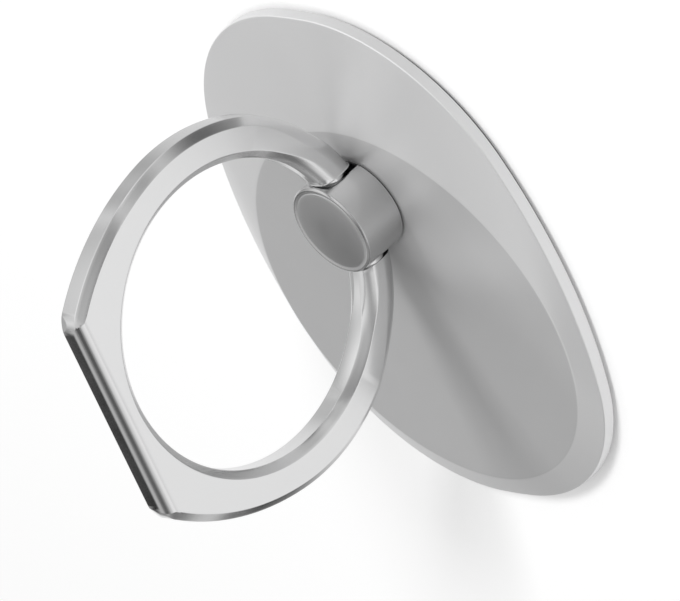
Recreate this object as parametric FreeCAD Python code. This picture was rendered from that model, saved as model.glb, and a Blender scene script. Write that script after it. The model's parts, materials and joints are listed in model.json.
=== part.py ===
import FreeCAD, Part
import math
import os

# Finger ring phone holder: a flat oval plate that sticks to a phone, a swivel hub and a folding ring.
# Millimetres. Origin on the hub's axis at the adhesive face, +Z out through the hub,
# X along the ring's hinge pin. The ring stands upright, as it is used.

# Adhesive pad
PAD_THICK = 0.40
PAD_INSET = 0.55

# Base plate: oval wall, wide sloping border, raised round plateau.
# The oval is eight tangent arcs: two short ends, two sides and four corners between them.
PLATE_HALF_X = 20.0
PLATE_HALF_Y = 16.2
PLATE_END_R = 40.0
PLATE_END_DEG = 2.2
PLATE_SIDE_R = 35.2
PLATE_CENTRE_X = -5.3
WALL_HIGH = 0.90
PLATEAU_RISE = 0.80
SIDE_BORDER = 1.65
END_BORDER = 1.89

# Finger ring
HOLE_R = 10.63
BAND_WIDE = 2.88
RING_THICK = 2.50
SIDE_START_DEG = 82.7
SIDE_FLATTER = 5.10
FLAT_BAND = 2.04
CORNER_R = 2.10
EDGE_RADIAL = 0.58
EDGE_DEEP = 0.55
FLAT_ROUND = 0.95
FACET_DEEP = 0.15

# Rounded rod at the hinge: degrees from the hub round the ring, and how far the edges soften
ROD_STATIONS_DEG = (64.0, 60.0, 52.0, 44.0, 36.0, 28.0, 20.0, 12.0)
OUTER_SOFT_DEG = (60.0, 30.0)
INNER_SOFT_DEG = (46.0, 22.0)
ROD_SOFT_SHARE = 0.42
ROD_THIN = 0.15

# Ring hinge
PIN_INSIDE = 0.03
PIN_CLEAR = 0.03
PIN_INTO_ROD = 0.4
PIN_ABOVE_ROD = 0.10
FOLD_CLEAR = 0.61
SHOULDER_CLEAR = 0.06

# Swivel hub
HUB_R = 3.48
HUB_TOP_WALL = 0.57
HUB_EDGE_ROUND = 0.06
HUB_RIM_WIDE = 0.53
HUB_RIM_DROP = 0.12
HUB_FACE_RISE = 0.05
HUB_FACE_BREAK = 0.04
NOTCH_ROUND = 0.16
NOTCH_WALL_SHARE = 0.4
LEG_INSET = 1.08
SWIVEL_CLEAR = 0.05
RIVET_LIP = 0.55
RIVET_THICK = 0.35
RIVET_SUNK = 0.15

# Washers, retaining disc, spring and saddle
SLIP_THICK = 0.11
SLIP_LIFT = 0.01
SLIP_INSET = 0.13
DISC_THICK = 0.25
DISC_LIP = 0.95
DISC_CLEAR = 0.02
RECESS_CLEAR = 0.40
CONE_HIGH = 0.30
CONE_THICK = 0.15
CONE_IN_CLEAR = 0.15
CONE_OUT_INSET = 0.20
SADDLE_X_INSET = 0.30
SADDLE_Y_INSET = 0.10
SADDLE_BELOW_HINGE = 0.66
SADDLE_CLEAR = 0.02
SPRING_THICK = 0.12
SPRING_X_INSET = 0.40
SPRING_Y_INSET = 0.25

# How far a cutting shape reaches past what it cuts, and how near two sizes count as equal
PAST = 1.0
NEAR = 0.01

# Base plate sizes that follow
PLATEAU_R = PLATE_HALF_Y - SIDE_BORDER
PLATEAU_CENTRE_X = PLATE_CENTRE_X - (PLATE_HALF_X - END_BORDER - PLATEAU_R)

# Ring and hinge sizes that follow
HALF_THICK = RING_THICK / 2.0
RING_R = HOLE_R + BAND_WIDE
SIDE_R = RING_R + SIDE_FLATTER
FLAT_FROM_CENTRE = HOLE_R + FLAT_BAND
PIN_R = HALF_THICK - PIN_INSIDE
SLOT_HALF = PIN_R + PIN_CLEAR
SHOULDER_X = HUB_R + SHOULDER_CLEAR
ROD_MIDDLE_R = (HOLE_R + RING_R - ROD_THIN) / 2.0
ROD_SOFT_RADIAL = ROD_SOFT_SHARE * (BAND_WIDE - ROD_THIN)
ROD_SOFT_DEEP = ROD_SOFT_SHARE * RING_THICK

# Swivel sizes that follow
HUB_FACE_R = HUB_R - HUB_RIM_WIDE
LEG_R = HUB_R - LEG_INSET
BORE_R = LEG_R + SWIVEL_CLEAR
RIVET_R = LEG_R + RIVET_LIP
DISC_R = RIVET_R + DISC_LIP
RECESS_R = DISC_R + RECESS_CLEAR
CONE_IN_R = LEG_R + CONE_IN_CLEAR
CONE_OUT_R = DISC_R - CONE_OUT_INSET

# Heights that follow, from the phone outwards
PLATE_BACK_Z = PAD_THICK
RIVET_Z = PLATE_BACK_Z + RIVET_SUNK
DISC_BACK_Z = RIVET_Z + RIVET_THICK
DISC_TOP_Z = DISC_BACK_Z + DISC_THICK
WEB_Z = DISC_TOP_Z + CONE_HIGH
WALL_TOP_Z = PLATE_BACK_Z + WALL_HIGH
PLATEAU_Z = WALL_TOP_Z + PLATEAU_RISE
HUB_BASE_Z = PLATEAU_Z + SLIP_LIFT + SLIP_THICK
HINGE_Z = PLATEAU_Z + HALF_THICK + FOLD_CLEAR
HUB_EDGE_Z = HINGE_Z + SLOT_HALF + HUB_TOP_WALL
RING_Z = HINGE_Z - PIN_ABOVE_ROD + math.sqrt(ROD_MIDDLE_R ** 2 - SHOULDER_X ** 2)

X_DIR = FreeCAD.Vector(1, 0, 0)
Y_DIR = FreeCAD.Vector(0, 1, 0)
Z_DIR = FreeCAD.Vector(0, 0, 1)


def vec(x, y, z):
    return FreeCAD.Vector(x, y, z)


def cylinder(radius, z_low, z_high):
    return Part.makeCylinder(radius, z_high - z_low, vec(0, 0, z_low), Z_DIR)


def block(x_half, y_half, z_low, z_high):
    return Part.makeBox(2 * x_half, 2 * y_half, z_high - z_low, vec(-x_half, -y_half, z_low))


def rod_along_x(radius, x_half, z):
    return Part.makeCylinder(radius, 2 * x_half, vec(-x_half, 0, z), X_DIR)


def revolved(points):
    """Solid turned about the Z axis from (radius, z) points."""
    corners = [vec(r, 0, z) for r, z in points]
    wire = Part.makePolygon(corners + [corners[0]])
    return Part.Face(wire).revolve(vec(0, 0, 0), Z_DIR, 360)


def save(shape, node):
    shape.exportStep("parts/" + node + ".step")


# Base plate and adhesive pad

def oval_corner():
    """Corner arc that joins an end arc to a side arc: centre, radius and the angles where it meets them."""
    end_meet = math.radians(PLATE_END_DEG)
    out_x = math.cos(end_meet)
    out_y = math.sin(end_meet)
    side_y = PLATE_HALF_Y - PLATE_SIDE_R
    meet_x = PLATE_HALF_X - PLATE_END_R * (1 - out_x)
    meet_y = PLATE_END_R * out_y
    reach = math.hypot(meet_x, meet_y - side_y)
    along = meet_x * out_x + (meet_y - side_y) * out_y
    radius = (PLATE_SIDE_R ** 2 - reach ** 2) / (2 * (PLATE_SIDE_R - along))
    x = meet_x - radius * out_x
    y = meet_y - radius * out_y
    return x, y, radius, end_meet, math.atan2(y - side_y, x)


def arc_chain(arcs, z):
    """Closed wire of arcs, each given by its centre, radius and first and last angle."""
    edges = []
    for x, y, radius, first, last in arcs:
        points = []
        for a in (first, (first + last) / 2, last):
            points.append(vec(x + radius * math.cos(a), y + radius * math.sin(a), z))
        edges.append(Part.Arc(*points).toShape())
    return Part.Wire(edges)


def oval_wire(inset, z):
    """Outline of the plate, moved inwards by inset."""
    x, y, corner_r, end_meet, side_meet = oval_corner()
    end_x = PLATE_HALF_X - PLATE_END_R
    side_y = PLATE_HALF_Y - PLATE_SIDE_R
    end_r = PLATE_END_R - inset
    side_r = PLATE_SIDE_R - inset
    corner_r = corner_r - inset
    half = math.pi
    arcs = [
        (end_x, 0, end_r, -end_meet, end_meet),
        (x, y, corner_r, end_meet, side_meet),
        (0, side_y, side_r, side_meet, half - side_meet),
        (-x, y, corner_r, half - side_meet, half - end_meet),
        (-end_x, 0, end_r, half - end_meet, half + end_meet),
        (-x, -y, corner_r, half + end_meet, half + side_meet),
        (0, -side_y, side_r, half + side_meet, 2 * half - side_meet),
        (x, -y, corner_r, 2 * half - side_meet, 2 * half - end_meet),
    ]
    return arc_chain([(PLATE_CENTRE_X + cx, cy, r, a, b) for cx, cy, r, a, b in arcs], z)


def plateau_wire(z):
    """Circle cut where the oval's arcs meet, so that the border between them is smooth."""
    end_meet, side_meet = oval_corner()[3:]
    half = math.pi
    cuts = [-end_meet, end_meet, side_meet, half - side_meet, half - end_meet, half + end_meet,
            half + side_meet, 2 * half - side_meet, 2 * half - end_meet]
    return arc_chain([(PLATEAU_CENTRE_X, 0, PLATEAU_R, a, b) for a, b in zip(cuts, cuts[1:])], z)


def make_base_plate():
    wall = Part.Face(oval_wire(0.0, PLATE_BACK_Z)).extrude(vec(0, 0, WALL_HIGH))
    border = Part.makeLoft([oval_wire(0.0, WALL_TOP_Z), plateau_wire(PLATEAU_Z)], True, True)
    plate = wall.fuse(border)
    plate = plate.cut(cylinder(RECESS_R, PLATE_BACK_Z - PAST, WEB_Z))
    return plate.cut(cylinder(BORE_R, WEB_Z - PAST, PLATEAU_Z + PAST))


def make_adhesive_pad():
    return Part.Face(oval_wire(PAD_INSET, 0.0)).extrude(vec(0, 0, PAD_THICK))


# Swivel: hub with two legs riveted behind the plate, washers, spring and saddle

def hub_barrel():
    """Round barrel: a sunk rim inside a sharp edge, and a flat face a little above the rim."""
    rim_z = HUB_EDGE_Z - HUB_RIM_DROP
    face_z = rim_z + HUB_FACE_RISE
    return revolved([
        (0, HUB_BASE_Z),
        (HUB_R, HUB_BASE_Z),
        (HUB_R, HUB_EDGE_Z - HUB_EDGE_ROUND),
        (HUB_R - HUB_EDGE_ROUND, HUB_EDGE_Z),
        (HUB_FACE_R, rim_z),
        (HUB_FACE_R, face_z - HUB_FACE_BREAK),
        (HUB_FACE_R - HUB_FACE_BREAK, face_z),
        (0, face_z),
    ])


def hub_slot():
    """Slot across the hub, open towards the plate, round where the hinge pin sits."""
    reach = 2 * HUB_R
    straight = block(reach, SLOT_HALF, RIVET_Z - PAST, HINGE_Z)
    return straight.fuse(rod_along_x(SLOT_HALF, reach, HINGE_Z))


def notch_edges(barrel):
    """Edges where the slot breaks out through the barrel's wall."""
    found = []
    for edge in barrel.Edges:
        middle = edge.valueAt((edge.FirstParameter + edge.LastParameter) / 2.0)
        on_wall = abs(math.hypot(middle.x, middle.y) - HUB_R) < NEAR
        in_notch = abs(middle.y) < SLOT_HALF + NEAR
        upright = edge.BoundBox.ZLength > NOTCH_ROUND
        if on_wall and in_notch and upright:
            found.append(edge)
    return found


def round_notch(barrel):
    """Rounds the notch's edge, no wider than a share of the wall above the slot."""
    wall = HUB_EDGE_Z - HUB_EDGE_ROUND - HINGE_Z - SLOT_HALF
    radius = min(NOTCH_ROUND, NOTCH_WALL_SHARE * wall)
    return barrel.makeFillet(radius, notch_edges(barrel))


def make_swivel_hub():
    barrel = round_notch(hub_barrel().cut(hub_slot()))
    legs = cylinder(LEG_R, DISC_BACK_Z, HUB_BASE_Z).fuse(cylinder(RIVET_R, RIVET_Z, DISC_BACK_Z))
    legs = legs.cut(hub_slot())
    return barrel.fuse(legs)


def make_slip_washer():
    low = PLATEAU_Z + SLIP_LIFT
    ring = cylinder(HUB_R - SLIP_INSET, low, HUB_BASE_Z)
    return ring.cut(cylinder(BORE_R, low - PAST, HUB_BASE_Z + PAST))


def make_cone_washer():
    """Spring washer, dished so that it presses on the plate inside and on the disc outside."""
    return revolved([
        (CONE_IN_R, WEB_Z),
        (CONE_IN_R, WEB_Z - CONE_THICK),
        (CONE_OUT_R, DISC_TOP_Z),
        (CONE_OUT_R, DISC_TOP_Z + CONE_THICK),
    ])


def make_retaining_disc():
    """Disc on the hub's legs, with a bridge between its two slots."""
    disc = cylinder(DISC_R, DISC_BACK_Z, DISC_TOP_Z)
    leg_hole = cylinder(LEG_R + DISC_CLEAR, DISC_BACK_Z - PAST, DISC_TOP_Z + PAST)
    bridge = block(2 * DISC_R, SLOT_HALF - DISC_CLEAR, DISC_BACK_Z - PAST, DISC_TOP_Z + PAST)
    return disc.cut(leg_hole.cut(bridge))


def make_saddle_spring():
    """Bowed strip between the disc's bridge and the saddle."""
    x = LEG_R - SPRING_X_INSET
    half_y = SLOT_HALF - SPRING_Y_INSET
    top = WEB_Z
    foot = DISC_TOP_Z
    upper = Part.Arc(vec(-x, 0, foot + SPRING_THICK), vec(0, 0, top), vec(x, 0, foot + SPRING_THICK))
    lower = Part.Arc(vec(x, 0, foot), vec(0, 0, top - SPRING_THICK), vec(-x, 0, foot))
    right = Part.makeLine(vec(x, 0, foot + SPRING_THICK), vec(x, 0, foot))
    left = Part.makeLine(vec(-x, 0, foot), vec(-x, 0, foot + SPRING_THICK))
    wire = Part.Wire([upper.toShape(), right, lower.toShape(), left])
    strip = Part.Face(wire).extrude(vec(0, 2 * half_y, 0))
    strip.translate(vec(0, -half_y, 0))
    return strip


def make_friction_saddle():
    top = HINGE_Z - SADDLE_BELOW_HINGE
    half_x = LEG_R - SADDLE_X_INSET
    saddle = block(half_x, SLOT_HALF - SADDLE_Y_INSET, WEB_Z, top)
    return saddle.cut(rod_along_x(PIN_R + SADDLE_CLEAR, half_x + PAST, HINGE_Z))


# Finger ring: outline in the XZ plane, mirrored about the Z axis

def outline_wire(inset, flat_inset, corner_r, y):
    """Ring outline moved inwards by inset, its straight end moved by flat_inset."""
    start = math.radians(SIDE_START_DEG)
    ring_r = RING_R - inset
    side_r = SIDE_R - inset
    side_x = (RING_R - SIDE_R) * math.sin(start)
    side_z = RING_Z + (RING_R - SIDE_R) * math.cos(start)
    flat_z = RING_Z + FLAT_FROM_CENTRE - flat_inset
    corner_z = flat_z - corner_r
    corner_x = side_x + math.sqrt((side_r - corner_r) ** 2 - (corner_z - side_z) ** 2)
    meet = math.atan2(corner_x - side_x, corner_z - side_z)

    def on_ring(a):
        return vec(ring_r * math.sin(a), y, RING_Z + ring_r * math.cos(a))

    def on_side(a):
        return vec(side_x + side_r * math.sin(a), y, side_z + side_r * math.cos(a))

    def on_corner(a):
        return vec(corner_x + corner_r * math.sin(a), y, corner_z + corner_r * math.cos(a))

    def mirrored(p):
        return vec(-p.x, p.y, p.z)

    right = [
        (on_ring(math.pi), on_ring((math.pi + start) / 2), on_ring(start)),
        (on_side(start), on_side((start + meet) / 2), on_side(meet)),
        (on_corner(meet), on_corner(meet / 2), on_corner(0.0)),
    ]
    edges = [Part.Arc(a, b, c).toShape() for a, b, c in right]
    edges.append(Part.makeLine(on_corner(0.0), mirrored(on_corner(0.0))))
    for a, b, c in reversed(right):
        edges.append(Part.Arc(mirrored(c), mirrored(b), mirrored(a)).toShape())
    return Part.Wire(edges)


def ring_blank():
    """Flat ring: straight walls, sloped outer edges on both faces, none on the straight end's front."""
    wall_y = HALF_THICK - EDGE_DEEP
    front = outline_wire(0.0, 0.0, CORNER_R, -wall_y)
    back = outline_wire(0.0, 0.0, CORNER_R, wall_y)
    front_face = outline_wire(EDGE_RADIAL, 0.0, CORNER_R, -HALF_THICK)
    back_face = outline_wire(EDGE_RADIAL, EDGE_RADIAL, CORNER_R - EDGE_RADIAL, HALF_THICK)
    walls = Part.Face(front).extrude(vec(0, 2 * wall_y, 0))
    slope_front = Part.makeLoft([front, front_face], True, True)
    slope_back = Part.makeLoft([back, back_face], True, True)
    return walls.fuse([slope_front, slope_back])


def hole_cutter():
    """Finger hole with sloped edges."""
    hole = Part.makeCylinder(HOLE_R, RING_THICK + 2 * PAST, vec(0, -HALF_THICK - PAST, RING_Z), Y_DIR)
    wide = HOLE_R + EDGE_RADIAL
    front = Part.makeCone(wide, HOLE_R, EDGE_DEEP, vec(0, -HALF_THICK, RING_Z), Y_DIR)
    back = Part.makeCone(HOLE_R, wide, EDGE_DEEP, vec(0, HALF_THICK - EDGE_DEEP, RING_Z), Y_DIR)
    return hole.fuse([front, back])


def flat_round_cutter():
    """What a large round takes off the front edge of the straight end."""
    flat_z = RING_Z + FLAT_FROM_CENTRE
    size = FLAT_ROUND + PAST
    place = vec(-RING_R, -HALF_THICK - PAST, flat_z - FLAT_ROUND)
    corner = Part.makeBox(2 * RING_R, size, size, place)
    core = rod_along_x(FLAT_ROUND, RING_R + PAST, 0.0)
    core.translate(vec(0, FLAT_ROUND - HALF_THICK, flat_z - FLAT_ROUND))
    return corner.cut(core)


def corner_facet_cutters():
    """Two flats across the back half of the ring's corners."""
    start = math.radians(SIDE_START_DEG)
    side_x = (RING_R - SIDE_R) * math.sin(start)
    side_z = (RING_R - SIDE_R) * math.cos(start)
    corner_z = FLAT_FROM_CENTRE - CORNER_R
    corner_x = side_x + math.sqrt((SIDE_R - CORNER_R) ** 2 - (corner_z - side_z) ** 2)
    tilt = math.atan2(corner_x - side_x, corner_z - side_z) / 2.0
    reach = CORNER_R - FACET_DEEP
    cutters = []
    for side in (-1, 1):
        box = Part.makeBox(4 * CORNER_R, RING_THICK, 2 * CORNER_R, vec(-2 * CORNER_R, 0, reach))
        box.rotate(vec(0, 0, 0), Y_DIR, side * math.degrees(tilt))
        box.translate(vec(side * corner_x, 0, RING_Z + corner_z))
        cutters.append(box)
    return cutters


def hub_side_wedge():
    """Sector of the ring next to the hub, where the rod takes over."""
    a = math.radians(ROD_STATIONS_DEG[0])
    reach = 3 * RING_R
    x = reach * math.sin(a)
    z = RING_Z - reach * math.cos(a)
    low = RING_Z - 2 * reach
    y = -HALF_THICK - PAST
    centre = vec(0, y, RING_Z)
    corners = [centre, vec(x, y, z), vec(x, y, low), vec(-x, y, low), vec(-x, y, z), centre]
    return Part.Face(Part.makePolygon(corners)).extrude(vec(0, RING_THICK + 2 * PAST, 0))


def softening(angle, limits):
    """0 where the edge is still sloped, 1 where it is fully round."""
    high, low = limits
    t = min(1.0, max(0.0, (high - angle) / (high - low)))
    return t * t * (3 - 2 * t)


def rod_section(angle):
    """Closed section of the rod at an angle from the hub, as four sides and four soft corners."""
    a = math.radians(angle)
    outer_soft = softening(angle, OUTER_SOFT_DEG)
    inner_soft = softening(angle, INNER_SOFT_DEG)
    r_in = HOLE_R
    r_out = RING_R - ROD_THIN * outer_soft
    corners = []
    for r, step, soft in ((r_in, 1, inner_soft), (r_out, -1, outer_soft)):
        radial = EDGE_RADIAL + (ROD_SOFT_RADIAL - EDGE_RADIAL) * soft
        deep = EDGE_DEEP + (ROD_SOFT_DEEP - EDGE_DEEP) * soft
        corners.append((r, step * radial, deep, soft))

    def at(r, y):
        return vec(r * math.sin(a), y, RING_Z - r * math.cos(a))

    def corner_points(entry, side):
        r, radial, deep, soft = entry
        on_wall = at(r, side * (HALF_THICK - deep))
        on_face = at(r + radial, side * HALF_THICK)
        middle = (on_wall + on_face) * 0.5
        tip = at(r, side * HALF_THICK)
        return on_wall, middle + (tip - middle) * soft, on_face

    inner, outer = corners
    in_front = corner_points(inner, -1)
    in_back = corner_points(inner, 1)
    out_back = corner_points(outer, 1)
    out_front = corner_points(outer, -1)
    loops = [in_back, out_back[::-1], out_front, in_front[::-1]]
    edges = []
    for i, corner in enumerate(loops):
        before = loops[i - 1][2]
        edges.append(Part.makeLine(before, corner[0]))
        curve = Part.BezierCurve()
        curve.setPoles(list(corner))
        edges.append(curve.toShape())
    return Part.Wire(edges)


def rod_side():
    """Rod on one side of the hub, ending in a flat shoulder beside the barrel."""
    sections = [rod_section(angle) for angle in ROD_STATIONS_DEG]
    rod = Part.makeLoft(sections, True, False)
    inside = block(SHOULDER_X, RING_THICK, HINGE_Z - RING_R, RING_Z)
    return rod.cut(inside)


def mirrored_x(shape):
    return shape.mirror(vec(0, 0, 0), X_DIR)


def make_finger_ring():
    ring = ring_blank().cut(hole_cutter())
    for cutter in [flat_round_cutter(), hub_side_wedge()] + corner_facet_cutters():
        ring = ring.cut(cutter)
    side = rod_side()
    pin = rod_along_x(PIN_R, SHOULDER_X + PIN_INTO_ROD, HINGE_Z)
    return ring.fuse([side, mirrored_x(side), pin])


os.makedirs("parts", exist_ok=True)
save(make_adhesive_pad(), "adhesive_pad")
save(make_base_plate(), "base_plate")
save(make_swivel_hub(), "swivel_hub")
save(make_slip_washer(), "slip_washer")
save(make_cone_washer(), "cone_spring_washer")
save(make_retaining_disc(), "retaining_disc")
save(make_saddle_spring(), "saddle_spring")
save(make_friction_saddle(), "friction_saddle")
save(make_finger_ring(), "finger_ring")
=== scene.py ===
import json
import math

import bmesh
import bpy
from mathutils import Matrix, Vector

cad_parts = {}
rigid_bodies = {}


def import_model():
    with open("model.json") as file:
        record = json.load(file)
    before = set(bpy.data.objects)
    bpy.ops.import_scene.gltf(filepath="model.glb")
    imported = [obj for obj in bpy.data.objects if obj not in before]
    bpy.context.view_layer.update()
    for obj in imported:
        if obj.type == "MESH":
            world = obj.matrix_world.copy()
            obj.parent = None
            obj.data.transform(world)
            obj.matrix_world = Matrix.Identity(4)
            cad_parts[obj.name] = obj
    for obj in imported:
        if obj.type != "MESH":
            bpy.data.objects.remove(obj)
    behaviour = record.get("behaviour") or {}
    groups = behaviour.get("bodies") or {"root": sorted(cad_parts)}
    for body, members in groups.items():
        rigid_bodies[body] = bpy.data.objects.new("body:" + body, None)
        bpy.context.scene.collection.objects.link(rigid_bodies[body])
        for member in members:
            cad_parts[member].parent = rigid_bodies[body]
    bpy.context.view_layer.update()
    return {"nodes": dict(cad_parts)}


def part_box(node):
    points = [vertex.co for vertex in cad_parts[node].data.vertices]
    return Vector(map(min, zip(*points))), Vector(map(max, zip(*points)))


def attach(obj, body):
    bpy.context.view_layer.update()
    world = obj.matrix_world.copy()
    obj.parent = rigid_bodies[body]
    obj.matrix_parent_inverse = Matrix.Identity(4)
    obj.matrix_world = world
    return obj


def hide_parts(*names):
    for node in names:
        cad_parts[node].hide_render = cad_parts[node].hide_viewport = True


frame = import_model()

# A ring holder for the back of a telephone: plate, adhesive pad, swivel hub and folding finger ring.
# Lengths are in metres. MM turns millimetres into them.
MM = 0.001
X = Vector((1, 0, 0))
Y = Vector((0, 1, 0))
Z = Vector((0, 0, 1))
ORIGIN = Vector((0, 0, 0))
QUARTER_TURN = math.radians(90)

# Points nearer than this count as one: when edges are picked, and when doubles are merged
SAME_PLACE = 0.004 * MM
DOUBLES_WITHIN = 0.0005 * MM

# Heights and reaches that the frame gives
PLATE_LOW, PLATE_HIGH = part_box("base_plate")
PAD_LOW, PAD_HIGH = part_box("adhesive_pad")
HUB_LOW, HUB_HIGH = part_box("swivel_hub")
WASHER_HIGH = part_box("slip_washer")[1]
RING_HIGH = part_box("finger_ring")[1]
PLATE_CENTRE = (PLATE_LOW + PLATE_HIGH) / 2
PLATE_HALF = (PLATE_HIGH - PLATE_LOW) / 2
PLATE_BACK = PLATE_LOW.z
PLATEAU = PLATE_HIGH.z
HUB_BASE = WASHER_HIGH.z
HUB_R = HUB_HIGH.x
HUB_TOP = HUB_HIGH.z
HALF_THICK = RING_HIGH.y
FLAT_END = RING_HIGH.z

# Base plate: an oval of end, corner and side arcs, with a round plateau off its middle
PLATE_END_R = 40.0 * MM
PLATE_END_TURN = math.radians(2.2)
PLATE_SIDE_R = 35.2 * MM
OVAL_END_STEPS = 1
OVAL_CORNER_STEPS = 36
OVAL_SIDE_STEPS = 14
WALL_TOP = PLATE_BACK + 0.90 * MM
WALL_BEVEL = 0.09 * MM
PLATEAU_R = 14.55 * MM
PLATEAU_MIDDLE = Vector((-8.86 * MM, 0, 0))
PLATEAU_BEVEL = 0.16 * MM
BEVEL_STEPS = 3

# Base plate: bore for the hub's legs, recess behind it, and a flat strip round the back's edge
BORE_R = 2.45 * MM
RECESS_R = 4.30 * MM
RECESS_TOP = PLATE_BACK + 1.05 * MM
BACK_STRIP = 0.40 * MM

# Adhesive pad
PAD_INSET = 0.55 * MM
PAD_BEVEL = 0.06 * MM

# Swivel hub: the slot for the ring and the notch where it leaves the barrel's wall
HINGE = 3.96 * MM
SLOT_HALF = 1.25 * MM
NOTCH_ROUND = 0.06 * MM
NOTCH_ROUND_STEPS = 4
NOTCH_DEEP = 0.60 * MM
NOTCH_MARGIN = 0.24 * MM
NOTCH_RISE_STEPS = 4
NOTCH_ARCH_STEPS = 36

# Swivel hub: the panel round the notch, with loops at shares of the way to its edge, and the rest of the wall
PANEL_CORNER = math.radians(35)
PANEL_TOP = HINGE + 1.55 * MM
PANEL_HALF = (PANEL_TOP - HINGE) / math.tan(PANEL_CORNER)
PANEL_SHARES = (0.35, 0.55, 1.0)
BARREL_STEPS = 26

# Swivel hub: radius and depth below its top in mm, over the wall's edge, the sloped rim and the face's edge
RIM_PROFILE = (
    (3.480, 0.236),
    (3.470, 0.214),
    (3.376, 0.118),
    (3.355, 0.104),
    (3.335, 0.101),
    (3.312, 0.104),
    (3.215, 0.132),
    (3.090, 0.168),
    (3.072, 0.170),
    (3.062, 0.168),
    (3.052, 0.156),
    (3.040, 0.148),
    (3.020, 0.143),
)

# Swivel hub: the face inside the rim, also in mm, which falls by CROWN_DEEP from its middle to CROWN_R
CROWN_RADII = (2.96, 2.7, 2.3, 1.8, 1.2, 0.6)
CROWN_R = 3.00
CROWN_DEEP = 0.138

# Swivel hub: legs and riveted ends
LEG_R = 2.40 * MM
RIVET_R = 2.95 * MM
RIVET_TOP = 0.90 * MM
LEG_BEVEL = 0.03 * MM
LEG_BEVEL_STEPS = 2
LEG_SIDES = 72

# Finger ring: hole, and an outline of a round, a side arc, a corner and the straight end
HOLE_R = 10.63 * MM
RING_R = 13.51 * MM
RING_SIDE_START = math.radians(82.7)
RING_SIDE_R = 18.61 * MM
FLAT_FROM_CENTRE = 12.67 * MM
HOLE_Z = FLAT_END - FLAT_FROM_CENTRE
RING_CORNER_R = 2.10 * MM
RING_ROUND_STEPS = 16
RING_SIDE_STEPS = 18
RING_CORNER_STEPS = 16
FLAT_SHARES = (0.35, 0.7, 1.0)

# Finger ring: sloped long edges with broken corners, on the front (-Y) and the back (+Y)
FRONT = -1
BACK = 1
EDGE_RADIAL = 0.58 * MM
EDGE_DEEP = 0.55 * MM
EDGE_BREAK = 0.05 * MM
SLOPE_SHARES = (0.3, 0.5, 0.7)

# Finger ring: the large round on the straight end's front edge, and the small flats on its back corners
FLAT_ROUND = 0.98 * MM
FLAT_ROUND_STEPS = 14
CUT_REACH = 14 * MM
CUT_PAST = 1 * MM
FACET_FROM = 0.16 * MM
FACET_TILT = math.radians(9.5)
FACET_BLOCK = Vector((8 * MM, 4 * MM, 4 * MM))
SAME_FACING = 0.9999

# Finger ring: the rod, from where the flat ring ends to the shoulder beside the hub
ROD_FROM = math.radians(64)
ROD_TO = math.radians(20.5)
ROD_STEPS = 30
ROD_THIN = 0.15 * MM
ROD_SOFT_OUTER = 1.14 * MM
ROD_SOFT_INNER = 1.00 * MM
ROD_SOFT_DEEP = 1.05 * MM
OUTER_SOFTENS = (math.radians(60), math.radians(30))
INNER_SOFTENS = (math.radians(46), math.radians(22))

# Finger ring: the shoulders beside the hub and the pin between them
SHOULDER = 3.54 * MM
SHOULDER_BEVEL = 0.06 * MM
PIN_R = 1.22 * MM
PIN_PAST = 0.40 * MM
PIN_SIDES = 96


# Modelling helpers

def deselect():
    bpy.ops.object.select_all(action="DESELECT")


def select_only(piece):
    deselect()
    piece.select_set(True)
    bpy.context.view_layer.objects.active = piece


def start_piece(name, place):
    """A new piece of one point, being edited."""
    deselect()
    bpy.ops.mesh.primitive_plane_add(size=MM, location=(0, 0, 0))
    piece = bpy.context.object
    piece.name = name
    piece.data.name = name
    bpy.ops.object.mode_set(mode="EDIT")
    bpy.ops.mesh.merge(type="CENTER")
    bpy.ops.transform.translate(value=place)
    return piece


def add_point(place):
    """One more point in the piece being edited, selected alone."""
    bpy.ops.mesh.select_all(action="DESELECT")
    bpy.ops.mesh.primitive_plane_add(size=MM, location=(0, 0, 0))
    bpy.ops.mesh.merge(type="CENTER")
    bpy.ops.transform.translate(value=place)


def extrude(step):
    bpy.ops.mesh.extrude_region_move(TRANSFORM_OT_translate={"value": step})


def draw(places):
    """A line from the first place through the others, all of it selected at the end."""
    for here, there in zip(places, places[1:]):
        extrude(Vector(there) - Vector(here))
    bpy.ops.mesh.select_linked()


def turn(angle, centre, axis, steps):
    """Spins what is selected round an axis, anticlockwise seen against the axis."""
    bpy.ops.mesh.spin(steps=steps, angle=-angle, center=centre, axis=axis)


def bevel(width, steps=BEVEL_STEPS):
    bpy.ops.mesh.bevel(offset=width, segments=steps, affect="EDGES")


def pick_edges(test, open_only=False):
    """Selects the edges whose two ends both pass a test, all of them or those of open borders."""
    bpy.ops.mesh.select_mode(type="EDGE")
    bpy.ops.mesh.select_all(action="DESELECT")
    data = bpy.context.object.data
    for edge in bmesh.from_edit_mesh(data).edges:
        wanted = edge.is_boundary or not open_only
        if wanted and test(edge.verts[0].co) and test(edge.verts[1].co):
            edge.select_set(True)
    bmesh.update_edit_mesh(data)


def near(a, b):
    return abs(a - b) < SAME_PLACE


def on_circle(co, centre, radius):
    return near(math.hypot(co.x - centre.x, co.y - centre.y), radius)


def merge_doubles():
    bpy.ops.mesh.select_all(action="SELECT")
    bpy.ops.mesh.remove_doubles(threshold=DOUBLES_WITHIN)


def close_piece():
    """Ends editing with doubles merged and all faces outwards."""
    bpy.ops.mesh.select_mode(type="VERT")
    merge_doubles()
    bpy.ops.mesh.normals_make_consistent(inside=False)
    bpy.ops.object.mode_set(mode="OBJECT")


def smooth(piece, degrees):
    """Smooth shading that keeps sharp folds and lets the large faces set the normals."""
    select_only(piece)
    bpy.ops.object.shade_smooth_by_angle(angle=math.radians(degrees))
    weights = piece.modifiers.new("normals", "WEIGHTED_NORMAL")
    weights.keep_sharp = True
    bpy.ops.object.modifier_apply(modifier=weights.name)


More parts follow.
